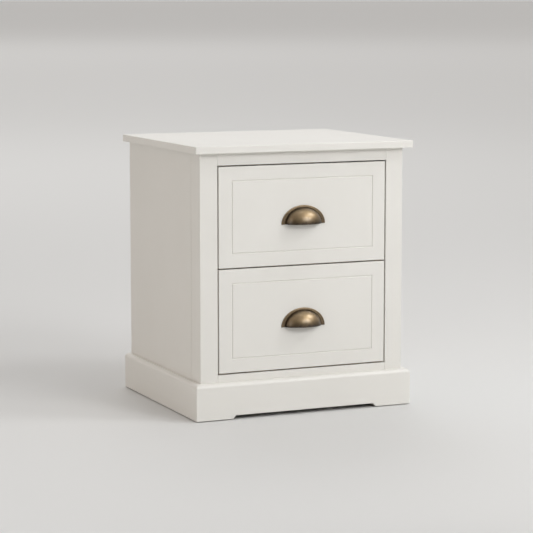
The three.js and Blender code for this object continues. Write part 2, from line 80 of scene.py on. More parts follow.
# a socket given as an input is linked, a list of sockets is linked in order, anything else is a value
def addNode(tree, kind, inputs=None, **settings):
    node = tree.nodes.new(kind)
    for name, value in settings.items():
        setattr(node, name, value)
    for key, value in (inputs or {}).items():
        for one in value if isinstance(value, list) else [value]:
            if isinstance(one, bpy.types.NodeSocket):
                tree.links.new(one, node.inputs[key])
            else:
                node.inputs[key].default_value = one
    return node


def newMaterial(name, **shaderValues):
    made = bpy.data.materials.new(name)
    made.use_nodes = True
    shader = made.node_tree.nodes["Principled BSDF"]
    for key, value in shaderValues.items():
        shader.inputs[key.replace("_", " ")].default_value = value
    return made, made.node_tree, shader


# share runs the colour from the first tone to the second, and height makes the bump
def wireFinish(tree, shader, share, tones, gloss, height, look):
    tone = addNode(tree, "ShaderNodeMix",
                   {0: share.outputs[0], 6: colour(tones[0]), 7: colour(tones[1])},
                   data_type="RGBA")
    bump = addNode(tree, "ShaderNodeBump",
                   {"Height": height.outputs[0], "Strength": look["bump"],
                    "Distance": look["bumpMm"] * mm})
    tree.links.new(tone.outputs[2], shader.inputs["Base Color"])
    tree.links.new(gloss.outputs[0], shader.inputs["Roughness"])
    tree.links.new(bump.outputs[0], shader.inputs["Normal"])


# Satin acrylic paint on board, sprayed and lightly rolled: an even warm white with a soft sheen,
# a faint stipple and hardly any change of tone from board to board.
paint = {"light": "e7e5e0", "dark": "e2e0da", "cloudMm": 160, "stippleMm": 2.5,
         "stippleRoughness": 0.45, "sheenMin": 0.36, "sheenMax": 0.46, "refraction": 1.48,
         "bump": 0.12, "bumpMm": 0.1}


def makePaint():
    made, tree, shader = newMaterial("satinPaint", IOR=paint["refraction"])
    place = addNode(tree, "ShaderNodeTexCoord").outputs["Object"]
    clouds = addNode(tree, "ShaderNodeTexNoise",
                     {"Vector": place, "Scale": 1 / (paint["cloudMm"] * mm), "Detail": 3})
    # real stipple is about 1 mm, drawn coarser so that it shows
    stipple = addNode(tree, "ShaderNodeTexNoise",
                      {"Vector": place, "Scale": 1 / (paint["stippleMm"] * mm), "Detail": 2,
                       "Roughness": paint["stippleRoughness"]})
    sheen = addNode(tree, "ShaderNodeMapRange",
                    {"Value": stipple.outputs[0], "To Min": paint["sheenMin"],
                     "To Max": paint["sheenMax"]})
    wireFinish(tree, shader, clouds, (paint["light"], paint["dark"]), sheen, stipple, paint)
    return made


# Cast brass, chemically darkened and rubbed back under lacquer: brown patina in the hollows, warm
# gold where the cloth has reached, a painted highlight on the dome's crown and the flange's top, and
# painted shade at their feet. The mesh attribute read here is 0 in a hollow and 1 where it is proud,
# and holds this painted light as well.
brass = {"hollow": "281d13", "rubbedAndLit": "aa926e", "mottleMm": 7, "scratchMm": 0.8,
         "mottleShare": 0.4, "dullHollow": 0.5, "dullRubbed": 0.42, "lacquer": 0.8,
         "lacquerRoughness": 0.28, "bump": 0.08, "bumpMm": 0.05}


def makeBrass():
    made, tree, shader = newMaterial("antiqueBrass", Metallic=1, Coat_Weight=brass["lacquer"],
                                     Coat_Roughness=brass["lacquerRoughness"])
    place = addNode(tree, "ShaderNodeTexCoord").outputs["Object"]
    # real rubbing and patina, plus a painted highlight on crowns and tops and painted shade at the
    # feet
    rub = addNode(tree, "ShaderNodeAttribute", attribute_name="rub").outputs["Fac"]
    mottle = addNode(tree, "ShaderNodeTexNoise",
                     {"Vector": place, "Scale": 1 / (brass["mottleMm"] * mm), "Detail": 5})
    # a noise is 0.5 on average
    centred = addNode(tree, "ShaderNodeMath", {0: mottle.outputs[0], 1: 0.5},
                      operation="SUBTRACT")
    wornAndLit = addNode(tree, "ShaderNodeMath",
                   {0: centred.outputs[0], 1: brass["mottleShare"], 2: rub},
                   operation="MULTIPLY_ADD", use_clamp=True)
    fine = addNode(tree, "ShaderNodeTexNoise",
                   {"Vector": place, "Scale": 1 / (brass["scratchMm"] * mm), "Detail": 3})
    dull = addNode(tree, "ShaderNodeMapRange",
                   {"Value": wornAndLit.outputs[0], "To Min": brass["dullHollow"],
                    "To Max": brass["dullRubbed"]})
    wireFinish(tree, shader, wornAndLit, (brass["hollow"], brass["rubbedAndLit"]), dull, fine, brass)
    return made


# Timber reads the mesh attribute "grain", whose X runs along the board.
# Birch, sanded and clear-lacquered: pale, close and even. Pine, planed: yellow with clear rings.
timbers = {
    "lacqueredBirch": {"early": "e2c79d", "late": "cda877", "ringMm": 5, "fibreMm": 0.7,
                       "contrast": 0.8, "roughness": 0.42},
    "planedPine": {"early": "e0bf8a", "late": "b98a50", "ringMm": 4, "fibreMm": 0.9,
                   "contrast": 1.4, "roughness": 0.6},
}
# each stretch is a ring's or fibre's width over its length
timberGrain = {"ringStretch": 0.09, "fibreStretch": 0.02, "distortion": 3.5,
               "distortionScale": 0.4, "glossier": 0.06, "duller": 0.08, "refraction": 1.5,
               "bump": 0.2, "bumpMm": 0.08}


def makeTimber(name):
    look = timbers[name]
    made, tree, shader = newMaterial(name, IOR=timberGrain["refraction"])
    grain = addNode(tree, "ShaderNodeAttribute", attribute_name="grain").outputs["Vector"]
    drawn = addNode(tree, "ShaderNodeVectorMath",
                    {0: grain, 1: (timberGrain["ringStretch"], 1, 1)},
                    operation="MULTIPLY").outputs[0]
    # a wave of scale 1 has a ring every 0.314
    rings = addNode(tree, "ShaderNodeTexWave",
                    {"Vector": drawn, "Scale": 0.314 / (look["ringMm"] * mm),
                     "Distortion": timberGrain["distortion"], "Detail": 3,
                     "Detail Scale": timberGrain["distortionScale"]},
                    wave_type="RINGS", rings_direction="X", wave_profile="SAW")
    thin = addNode(tree, "ShaderNodeVectorMath",
                   {0: grain, 1: (timberGrain["fibreStretch"], 1, 1)},
                   operation="MULTIPLY").outputs[0]
    fibre = addNode(tree, "ShaderNodeTexNoise",
                    {"Vector": thin, "Scale": 1 / (look["fibreMm"] * mm), "Detail": 3})
    both = addNode(tree, "ShaderNodeMath", {0: rings.outputs["Fac"], 1: fibre.outputs[0]},
                   operation="MULTIPLY")
    share = addNode(tree, "ShaderNodeMath", {0: both.outputs[0], 1: look["contrast"]},
                    operation="MULTIPLY", use_clamp=True)
    dull = addNode(tree, "ShaderNodeMapRange",
                   {"Value": fibre.outputs[0],
                    "To Min": look["roughness"] - timberGrain["glossier"],
                    "To Max": look["roughness"] + timberGrain["duller"]})
    wireFinish(tree, shader, share, (look["early"], look["late"]), dull, fibre, timberGrain)
    return made


# Plainer finishes: one noise between two tones, and the same noise in the gloss and the bump.
# Zinc-plated steel, rolled and bright-dipped: cool grey with faint clouding.
# Hardboard, pressed and painted on both faces: flat, pale and a little pebbled.
# Nylon, injection moulded: dark, with a soft, even sheen.
plainFinishes = {
    "zincPlatedSteel": {"light": "c9cdd0", "dark": "aab0b4", "metal": 1, "grainMm": 9,
                        "gloss": (0.26, 0.4), "bump": 0.03, "bumpMm": 0.1},
    "paintedHardboard": {"light": "d8d3c8", "dark": "cec8bc", "metal": 0, "grainMm": 1.8,
                         "gloss": (0.6, 0.75), "bump": 0.25, "bumpMm": 0.1},
    "mouldedNylon": {"light": "6f685e", "dark": "5f594f", "metal": 0, "grainMm": 1.2,
                     "gloss": (0.5, 0.62), "bump": 0.15, "bumpMm": 0.1},
}


def makePlain(name):
    look = plainFinishes[name]
    made, tree, shader = newMaterial(name, Metallic=look["metal"])
    place = addNode(tree, "ShaderNodeTexCoord").outputs["Object"]
    noise = addNode(tree, "ShaderNodeTexNoise",
                    {"Vector": place, "Scale": 1 / (look["grainMm"] * mm), "Detail": 4})
    dull = addNode(tree, "ShaderNodeMapRange",
                   {"Value": noise.outputs[0], "To Min": look["gloss"][0],
                    "To Max": look["gloss"][1]})
    wireFinish(tree, shader, noise, (look["light"], look["dark"]), dull, noise, look)
    return made


finishes = {
    "off_white_paint": makePaint(),
    "antique_brass": makeBrass(),
    "birch": makeTimber("lacqueredBirch"),
    "pine": makeTimber("planedPine"),
    "zinc_plated_steel": makePlain("zincPlatedSteel"),
    "hardboard": makePlain("paintedHardboard"),
    "nylon": makePlain("mouldedNylon"),
}
print("finishes made:", len(finishes))


# meshes

def meshFrom(points, faces=(), edges=()):
    mesh = bpy.data.meshes.new("piece")
    mesh.from_pydata(points, edges, faces)
    return mesh


# closed rings of equal length, bridged in order, with the first and last ring filled
def ringMesh(rings):
    count = len(rings[0])
    faces = [list(range(count))[::-1]]
    for row in range(len(rings) - 1):
        for i in range(count):
            a, b = row * count + i, row * count + (i + 1) % count
            faces.append([a, b, b + count, a + count])
    faces.append([(len(rings) - 1) * count + i for i in range(count)])
    return meshFrom([p for ring in rings for p in ring], faces)


# a quarter round as (inset, depth) pairs, from the face round to the edge
def quarter(radius, steps):
    turns = [math.pi / 2 * i / steps for i in range(steps + 1)]
    return [(radius - radius * math.sin(t), radius - radius * math.cos(t)) for t in turns]


smallestCorner = 0.05 * mm


# a rectangle with rounded corners, anticlockwise, from its lower left corner
def roundedOutline(low, high, radius, steps=5):
    radius = max(radius, smallestCorner)
    corners = ((low[0] + radius, low[1] + radius, 180), (high[0] - radius, low[1] + radius, 270),
               (high[0] - radius, high[1] - radius, 0), (low[0] + radius, high[1] - radius, 90))
    points = []
    for x, y, start in corners:
        for step in range(steps + 1):
            angle = math.radians(start + 90 * step / steps)
            points.append((x + radius * math.cos(angle), y + radius * math.sin(angle)))
    return points


def attributeOf(mesh, name, kind, values):
    layer = mesh.attributes.new(name, kind, "POINT")
    for i, value in enumerate(values):
        setattr(layer.data[i], "vector" if kind == "FLOAT_VECTOR" else "value", value)


def tidyNormals(mesh):
    work = bmesh.new()
    work.from_mesh(mesh)
    bmesh.ops.remove_doubles(work, verts=work.verts, dist=weld)
    bmesh.ops.recalc_face_normals(work, faces=work.faces)
    work.to_mesh(mesh)
    work.free()
    return mesh


# where in the log a board's middle may lie, in metres: along it, and off its centre two ways
placeInLog = ((0, 3), (0.02, 0.06), (-0.03, 0.03))


# along is the axis (0, 1 or 2) that a board's grain follows, and the name seeds its place in the log
def setGrain(mesh, along, name):
    draw = random.Random(name)
    shift = Vector([draw.uniform(least, most) for least, most in placeInLog])
    order = (along, (along + 1) % 3, (along + 2) % 3)
    middle = sum((v.co for v in mesh.vertices), Vector()) / len(mesh.vertices)
    places = [v.co - middle for v in mesh.vertices]
    attributeOf(mesh, "grain", "FLOAT_VECTOR",
                [Vector([p[i] for i in order]) + shift for p in places])


# a plain mesh of the object as its modifiers leave it
def evaluatedMesh(obj):
    bpy.context.view_layer.update()
    seen = obj.evaluated_get(bpy.context.evaluated_depsgraph_get())
    return bpy.data.meshes.new_from_object(seen)


def newObject(name, mesh):
    obj = bpy.data.objects.new(name, mesh)
    bpy.context.scene.collection.objects.link(obj)
    return obj


# edges sharper than this many degrees are eased
easing = {"segments": 3, "sharperThan": 28}


# arris is the width in mm that a piece's sharp edges are eased by
def finishPiece(name, mesh, slot, body, nodes=(), grainAlong=None, arris=0, smoothAngle=35):
    obj = newObject(name, mesh)
    mesh.materials.clear()
    mesh.materials.append(finishes[slot])
    mesh.shade_smooth()
    mesh.set_sharp_from_angle(angle=math.radians(smoothAngle))
    if arris:
        bevel = obj.modifiers.new("arris", "BEVEL")
        bevel.width = arris * mm
        bevel.segments = easing["segments"]
        bevel.limit_method = "ANGLE"
        bevel.angle_limit = math.radians(easing["sharperThan"])
    weighted = obj.modifiers.new("weighted", "WEIGHTED_NORMAL")
    weighted.keep_sharp = not arris
    finished = evaluatedMesh(obj)
    obj.modifiers.clear()
    obj.data = finished
    if grainAlong is not None:
        setGrain(obj.data, grainAlong, name)
    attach(obj, body)
    if nodes:
        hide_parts(*nodes)
    return obj


# a CAD node's shape, welded and with its coplanar faces joined
def weldedCopy(node):
    work = bmesh.new()
    work.from_mesh(frame["nodes"][node].data)
    bmesh.ops.remove_doubles(work, verts=work.verts, dist=weld)
    bmesh.ops.dissolve_limit(work, angle_limit=math.radians(1), verts=work.verts,
                             edges=work.edges)
    mesh = bpy.data.meshes.new(node)
    work.to_mesh(mesh)
    work.free()
    return mesh


def camel(node):
    first, *rest = node.split("_")
    return first + "".join(word.capitalize() for word in rest)


def easedPiece(node, slot, arris, grainAlong=None):
    return finishPiece(camel(node), weldedCopy(node), slot, bodyOf[node], [node], grainAlong,
                       arris)


# geometry nodes

def newTree(name, inputs):
    tree = bpy.data.node_groups.new(name, "GeometryNodeTree")
    tree.interface.new_socket("Geometry", in_out="INPUT", socket_type="NodeSocketGeometry")
    for label, kind in inputs.items():
        tree.interface.new_socket(label, in_out="INPUT", socket_type="NodeSocket" + kind)
    tree.interface.new_socket("Geometry", in_out="OUTPUT", socket_type="NodeSocketGeometry")
    return tree, addNode(tree, "NodeGroupInput").outputs


def closeTree(tree, given, geometry):
    whole = addNode(tree, "GeometryNodeRealizeInstances", {"Geometry": geometry})
    painted = addNode(tree, "GeometryNodeSetMaterial",
                      {"Geometry": whole.outputs[0], "Material": given["Finish"]})
    addNode(tree, "NodeGroupOutput", {0: painted.outputs[0]})


# the plain mesh that a tree makes of a mesh, with the tree's inputs set by name
def runTree(mesh, tree, values):
    obj = newObject("treeRun", mesh)
    modifier = obj.modifiers.new("tree", "NODES")
    modifier.node_group = tree
    for item in tree.interface.items_tree:
        if item.in_out == "INPUT" and item.name in values:
            modifier[item.identifier] = values[item.name]
    made = evaluatedMesh(obj)
    bpy.data.objects.remove(obj)
    return made


# the camera and the light

camera = {"lens": 137.5, "sensor": 36, "place": (-1.8693, -4.2549, 0.9109), "turn": -23.747,
          "tilt": 7.457, "nearest": 0.1, "farthest": 6000}


def addCamera():
    lens = bpy.data.cameras.new("camera")
    lens.lens = camera["lens"]
    lens.sensor_width = camera["sensor"]
    lens.clip_start = camera["nearest"]
    lens.clip_end = camera["farthest"]
    obj = bpy.data.objects.new("camera", lens)
    obj.location = camera["place"]
    turn = math.radians(camera["turn"])
    obj.rotation_euler = (math.radians(90 - camera["tilt"]), 0, turn)
    bpy.context.scene.collection.objects.link(obj)
    bpy.context.scene.camera = obj


# a soft box overhead and a silk across the whole ceiling, a high key on the right, a broad front
# light above the camera, a tall strip on the left, three lights over the floor behind, and a room
# that is pale at the back, dim behind the camera and warmer to the left. The floor's colour pales
# from its centre outwards, fast at first: painted light that brightens the far floor where the lamps
# give little.
studio = {
    "room": "e0e0e0", "leftWall": "fbebdc", "behindCamera": 0.24, "background": 0.88,
    "dimmingReach": 0.7,
    # the floor's near and far colours and how they fade are painted light
    "nearFloor": "cacac9", "farFloorPaintedLight": "fafaf9", "floorCentre": (-0.5, -2, 0),
    "paintedLightFades": (0.8, 60), "paintedLightCurve": 0.35, "floorSize": 8000, "floorRoughness": 0.85,
    "floorGloss": 0.15,
    "silk": {"from": (0.2, -0.5, 0.9), "angle": 80, "strength": 0.27},
    "lights": {
        "overhead": {"place": (0.2, -0.7, 3.2), "size": (0.7, 0.7), "power": 4},
        "key": {"place": (2.3, -1.6, 2.9), "size": (1.2, 1.2), "power": 36},
        "front": {"place": (2, -4.3, 2.45), "size": (2.4, 1.8), "power": 96},
        "strip": {"place": (-2.3, -1.3, 1.1), "size": (0.14, 1.7), "power": 7},
        "pool": {"place": (1, 5.5, 6), "size": (5, 5), "power": 95, "aim": (1, 5.5, 0)},
        "middle": {"place": (3, 12, 11), "size": (9, 9), "power": 150, "aim": (3, 12, 0)},
        "backdrop": {"place": (7, 28, 20), "size": (18, 18), "power": 800, "aim": (7, 28, 0)},
    },
}


# a lamp faces the middle of the cabinet unless it says otherwise
def addLight(name, place, size, power, aim=(0, 0, 0.3)):
    lamp = bpy.data.lights.new(name, "AREA")
    lamp.shape = "ELLIPSE"
    lamp.size, lamp.size_y = size
    lamp.energy = power
    obj = bpy.data.objects.new(name, lamp)
    obj.location = place
    away = Vector(aim) - Vector(place)
    obj.rotation_euler = away.to_track_quat("-Z", "Y").to_euler()
    obj.visible_camera = False
    bpy.context.scene.collection.objects.link(obj)


def addSilk():
    lamp = bpy.data.lights.new("silk", "SUN")
    lamp.angle = math.radians(studio["silk"]["angle"])
    lamp.energy = studio["silk"]["strength"]
    obj = bpy.data.objects.new("silk", lamp)
    obj.rotation_euler = Vector(studio["silk"]["from"]).to_track_quat("Z", "Y").to_euler()
    bpy.context.scene.collection.objects.link(obj)


def addRoom():
    world = bpy.data.worlds.new("studioRoom")
    world.use_nodes = True
    tree = world.node_tree
    sky = tree.nodes["Background"]
    way = addNode(tree, "ShaderNodeTexCoord").outputs["Generated"]
    parts = addNode(tree, "ShaderNodeSeparateXYZ", {0: way}).outputs
    leftward = addNode(tree, "ShaderNodeMath", {0: parts[0], 1: -1}, operation="MULTIPLY",
                       use_clamp=True)
    tone = addNode(tree, "ShaderNodeMix",
                   {0: leftward.outputs[0], 6: colour(studio["room"]),
                    7: colour(studio["leftWall"])}, data_type="RGBA")
    strength = addNode(tree, "ShaderNodeMapRange",
                       {"Value": parts[1], "From Min": -studio["dimmingReach"],
                        "From Max": studio["dimmingReach"], "To Min": studio["behindCamera"],
                        "To Max": studio["background"]})
    tree.links.new(tone.outputs[2], sky.inputs["Color"])
    tree.links.new(strength.outputs[0], sky.inputs["Strength"])
    bpy.context.scene.world = world


def addFloor():
    half = studio["floorSize"] / 2
    floor = newObject("floor", meshFrom([(-half, -half, 0), (half, -half, 0), (half, half, 0),
                                         (-half, half, 0)], [(0, 1, 2, 3)]))
    made, tree, shader = newMaterial("floorWithPaintedLight", Roughness=studio["floorRoughness"],
                                     Specular_IOR_Level=studio["floorGloss"])
    place = addNode(tree, "ShaderNodeTexCoord").outputs["Object"]
    distance = addNode(tree, "ShaderNodeVectorMath", {0: place, 1: studio["floorCentre"]},
                       operation="DISTANCE")
    share = addNode(tree, "ShaderNodeMapRange",
                    {"Value": distance.outputs["Value"], "From Min": studio["paintedLightFades"][0],
                     "From Max": studio["paintedLightFades"][1]})
    quicker = addNode(tree, "ShaderNodeMath", {0: share.outputs[0], 1: studio["paintedLightCurve"]},
                      operation="POWER")
    # painted light: the floor's colour pales with distance from its centre
    tone = addNode(tree, "ShaderNodeMix",
                   {0: quicker.outputs[0], 6: colour(studio["nearFloor"]),
                    7: colour(studio["farFloorPaintedLight"])}, data_type="RGBA")
    tree.links.new(tone.outputs[2], shader.inputs["Base Color"])
    floor.data.materials.append(made)


addCamera()
for name, light in studio["lights"].items():
    addLight(name + "Light", **light)
addSilk()
addRoom()
addFloor()
bpy.context.scene.view_settings.view_transform = "Standard"
print("camera and studio ready")


# painted boards of the body: edges sanded to a small arris before painting, and the joints with
# the posts left as hairlines by ending the boards a little short

boards = {"arris": 0.7, "railGap": 0.3, "panelGap": 0.9, "panelArris": 0.3}


# moves one end of a board, given by its place along an axis
def trimEnd(mesh, axis, end, by):
    for v in mesh.vertices:
        if abs(v.co[axis] - end) < 5 * weld:
            v.co[axis] += by


def addBoards():
    for side, _ in sides:
        easedPiece(f"front_post_{side}", "off_white_paint", boards["arris"])
    for node in ("side_panel_left", "side_panel_right"):
        mesh = weldedCopy(node)
        trimEnd(mesh, 1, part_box(node)[0].y, boards["panelGap"] * mm)
        finishPiece(camel(node), mesh, "off_white_paint", "cabinet", [node],
                    arris=boards["panelArris"])
    for node in ("top_rail", "bottom_rail"):
        mesh = weldedCopy(node)
        low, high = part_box(node)
        trimEnd(mesh, 0, low.x, boards["railGap"] * mm)
        trimEnd(mesh, 0, high.x, -boards["railGap"] * mm)
        finishPiece(camel(node), mesh, "off_white_paint", "cabinet", [node],
                    arris=boards["arris"])


# top board: rounded a little along its upper edge, less along its lower one

topBoard = {"upperRound": 1.9, "upperSteps": 6, "lowerRound": 1.0, "lowerSteps": 4,
            "cornerRound": 2.2}


def addTopBoard():
    low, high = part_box("top_board")
    corner = topBoard["cornerRound"] * mm
    lower = [(inset, low.z + rise)
             for inset, rise in quarter(topBoard["lowerRound"] * mm, topBoard["lowerSteps"])]
    upper = [(inset, high.z - drop)
             for inset, drop in quarter(topBoard["upperRound"] * mm, topBoard["upperSteps"])]
    rings = []
    for inset, z in lower + upper[::-1]:
        outline = roundedOutline((low.x + inset, low.y + inset), (high.x - inset, high.y - inset),
                                 corner - inset)
        rings.append([(x, y, z) for x, y in outline])
    mesh = tidyNormals(ringMesh(rings))
    finishPiece("topBoard", mesh, "off_white_paint", "cabinet", ["top_board"])


# plinth: one section carried round the front and the two sides. Its path has a point for every
# change, and each point says where the section's foot stands (anchor), which way the section
# spreads from there (diagonal), which way its arris faces (turn) and how far its foot lifts.

plinth = {"edgeRound": 9, "smallRound": 0.8, "roundSteps": 9, "arrisRound": 2, "arrisSteps": 6,
          "cutoutWidth": 349, "cutoutRise": 7.5, "cutoutSlope": 7}


def plinthPath():
    rows = [((-halfBody, back, 0), (-1, 0, 0), (-1, 0, 0), 0)]
    steps = plinth["arrisSteps"]
    turns = [(math.sin(math.pi / 2 * i / steps), math.cos(math.pi / 2 * i / steps))
             for i in range(steps + 1)]
    rows += [((-halfBody, front, 0), (-1, -1, 0), (-across, -ahead, 0), 0)
             for ahead, across in turns]
    foot = plinth["cutoutWidth"] / 2 * mm
    head = foot - plinth["cutoutSlope"] * mm
    rise = plinth["cutoutRise"] * mm
    for x, lift in ((-foot, 0), (-head, rise), (head, rise), (foot, 0)):
        rows.append(((x, front, 0), (0, -1, 0), (0, -1, 0), lift))
    rows += [((halfBody, front, 0), (1, -1, 0), (across, -ahead, 0), 0)
             for ahead, across in turns[::-1]]
    rows.append(((halfBody, back, 0), (1, 0, 0), (1, 0, 0), 0))
    apart = 0.01  # keeps the path's points off each other; the tree gives them their real place
    points = [Vector(anchor) + Vector(turn) * apart for anchor, _, turn, _ in rows]
    mesh = meshFrom(points, edges=[(i, i + 1) for i in range(len(rows) - 1)])
    for column, name in enumerate(("anchor", "diagonal", "turn")):
        attributeOf(mesh, name, "FLOAT_VECTOR", [row[column] for row in rows])
    attributeOf(mesh, "lift", "FLOAT", [row[3] for row in rows])
    return mesh


def makePlinthTree():
    tree, given = newTree("plinthMoulding", {
        "Board": "Float", "Foot": "Float", "Top": "Float", "Edge Round": "Float",
        "Small Round": "Float", "Arris Round": "Float", "Round Steps": "Int",
        "Finish": "Material"})
    height = addNode(tree, "ShaderNodeMath", {0: given["Top"], 1: given["Foot"]},
                     operation="SUBTRACT").outputs[0]
    section = addNode(tree, "GeometryNodeCurvePrimitiveQuadrilateral",
                      {"Width": given["Board"], "Height": height})
    # the section's first corner, upper and outer, takes the large radius
    index = addNode(tree, "GeometryNodeInputIndex").outputs[0]
    chosen = addNode(tree, "FunctionNodeCompare", {2: index, 3: 0}, data_type="INT",
                     operation="EQUAL")
    radius = addNode(tree, "GeometryNodeSwitch",
                     {0: chosen.outputs[0], 1: given["Small Round"], 2: given["Edge Round"]},
                     input_type="FLOAT")
    rounded = addNode(tree, "GeometryNodeFilletCurve",
                      {"Curve": section.outputs[0], "Radius": radius.outputs[0],
                       "Count": given["Round Steps"]}, mode="POLY")
    # out and up are measured from the body's face and from the floor
    size = addNode(tree, "ShaderNodeCombineXYZ", {0: given["Board"], 1: height})
    half = addNode(tree, "ShaderNodeVectorMath", {0: size.outputs[0], "Scale": 0.5},
                   operation="SCALE")
    foot = addNode(tree, "ShaderNodeCombineXYZ", {1: given["Foot"]})
    shift = addNode(tree, "ShaderNodeVectorMath", {0: half.outputs[0], 1: foot.outputs[0]},
                    operation="ADD")
    place = addNode(tree, "GeometryNodeInputPosition")
    fromFace = addNode(tree, "ShaderNodeVectorMath", {0: place.outputs[0], 1: shift.outputs[0]},
                       operation="ADD")
    marked = addNode(tree, "GeometryNodeStoreNamedAttribute",
                     {"Geometry": rounded.outputs[0], "Name": "section",
                      "Value": fromFace.outputs[0]}, data_type="FLOAT_VECTOR", domain="POINT")
    path = addNode(tree, "GeometryNodeMeshToCurve", {"Mesh": given["Geometry"]})
    swept = addNode(tree, "GeometryNodeCurveToMesh",
                    {"Curve": path.outputs[0], "Profile Curve": marked.outputs[0],
                     "Fill Caps": True})
    # anchor + diagonal * (out - round) + turn * round, at the section's height
    read = "GeometryNodeInputNamedAttribute"
    corner, diagonal, turn, anchor = [
        addNode(tree, read, {0: label}, data_type="FLOAT_VECTOR").outputs[0]
        for label in ("section", "diagonal", "turn", "anchor")]
    lift = addNode(tree, read, {0: "lift"}, data_type="FLOAT")
    parts = addNode(tree, "ShaderNodeSeparateXYZ", {0: corner})
    out, up = parts.outputs[0], parts.outputs[1]
    arrisHere = addNode(tree, "ShaderNodeMath", {0: given["Arris Round"], 1: out},
                        operation="MINIMUM").outputs[0]
    straight = addNode(tree, "ShaderNodeMath", {0: out, 1: arrisHere},
                       operation="SUBTRACT").outputs[0]
    along = addNode(tree, "ShaderNodeVectorMath", {0: diagonal, "Scale": straight},
                    operation="SCALE")
    bend = addNode(tree, "ShaderNodeVectorMath", {0: turn, "Scale": arrisHere},
                   operation="SCALE")
    spread = addNode(tree, "ShaderNodeVectorMath", {0: along.outputs[0], 1: bend.outputs[0]},
                     operation="ADD")
    level = addNode(tree, "ShaderNodeVectorMath", {0: anchor, 1: spread.outputs[0]},
                    operation="ADD")
    # only the lower edge follows the cut-out
    middle = addNode(tree, "ShaderNodeMath", {0: height, 1: 0.5, 2: given["Foot"]},
                     operation="MULTIPLY_ADD")
    atFoot = addNode(tree, "ShaderNodeMath", {0: up, 1: middle.outputs[0]},
                     operation="LESS_THAN")
    raised = addNode(tree, "ShaderNodeMath",
                     {0: lift.outputs[0], 1: atFoot.outputs[0], 2: up},
                     operation="MULTIPLY_ADD")
    upward = addNode(tree, "ShaderNodeCombineXYZ", {2: raised.outputs[0]})
    final = addNode(tree, "ShaderNodeVectorMath", {0: level.outputs[0], 1: upward.outputs[0]},
                    operation="ADD")
    placed = addNode(tree, "GeometryNodeSetPosition",
                     {"Geometry": swept.outputs[0], "Position": final.outputs[0]})
    closeTree(tree, given, placed.outputs[0])
    return tree


def addPlinth():
    low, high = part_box("plinth_front")
    mesh = runTree(plinthPath(), makePlinthTree(), {
        "Board": front - low.y, "Foot": low.z, "Top": high.z,
        "Edge Round": plinth["edgeRound"] * mm, "Small Round": plinth["smallRound"] * mm,
        "Arris Round": plinth["arrisRound"] * mm, "Round Steps": plinth["roundSteps"],
        "Finish": finishes["off_white_paint"]})
    finishPiece("plinth", tidyNormals(mesh), "off_white_paint", "cabinet",
                ["plinth_front", "plinth_left", "plinth_right"])


# unpainted timber inside the body, its edges eased

insideTimber = {"arris": 0.8, "bottomArris": 0.4}


def addInsideTimber():
    for side, _ in sides:
        easedPiece(f"rear_post_{side}", "pine", insideTimber["arris"], 2)
        for drawer in drawers:
            easedPiece(f"slide_packer_{drawer}_{side}", "pine", insideTimber["arris"], 1)
    for node in ("rear_top_rail", "rear_bottom_rail", "mid_rail"):
        easedPiece(node, "pine", insideTimber["arris"], 0)
    easedPiece("bottom_board", "birch", insideTimber["bottomArris"], 0)


# glides: moulded discs with a rounded lower edge

glide = {"round": 0.7, "roundSteps": 5, "segments": 40}


def addGlides():
    for row in ("front", "rear"):
        for side, _ in sides:
            node = f"glide_{row}_{side}"
            low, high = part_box(node)
            middle = (low + high) / 2
            radius = (high.x - low.x) / 2
            profile = [(radius - inset, low.z + rise)
                       for inset, rise in quarter(glide["round"] * mm, glide["roundSteps"])]
            profile.append((radius, high.z))
            turns = [2 * math.pi * i / glide["segments"] for i in range(glide["segments"])]
            rings = [[(middle.x + r * math.cos(t), middle.y + r * math.sin(t), z) for t in turns]
                     for r, z in profile]
            finishPiece(camel(node), tidyNormals(ringMesh(rings)), "nylon", "cabinet", [node])


# fasteners: one head, with a cross cut in it, and one shank, set on every point of a mesh.
# The mesh attribute "outward" says which way each head faces.

# the cross is in shares of the head's radius, and a lower crown is a flatter top
fastenerShape = {"headSides": 24, "headRings": 12, "shankSides": 12, "crown": 0.5,
                 "crossLength": 1.1, "crossWidth": 0.26}


def pointsMesh(rows):
    mesh = meshFrom([place for place, _ in rows])
    attributeOf(mesh, "outward", "FLOAT_VECTOR", [outward for _, outward in rows])
    return mesh


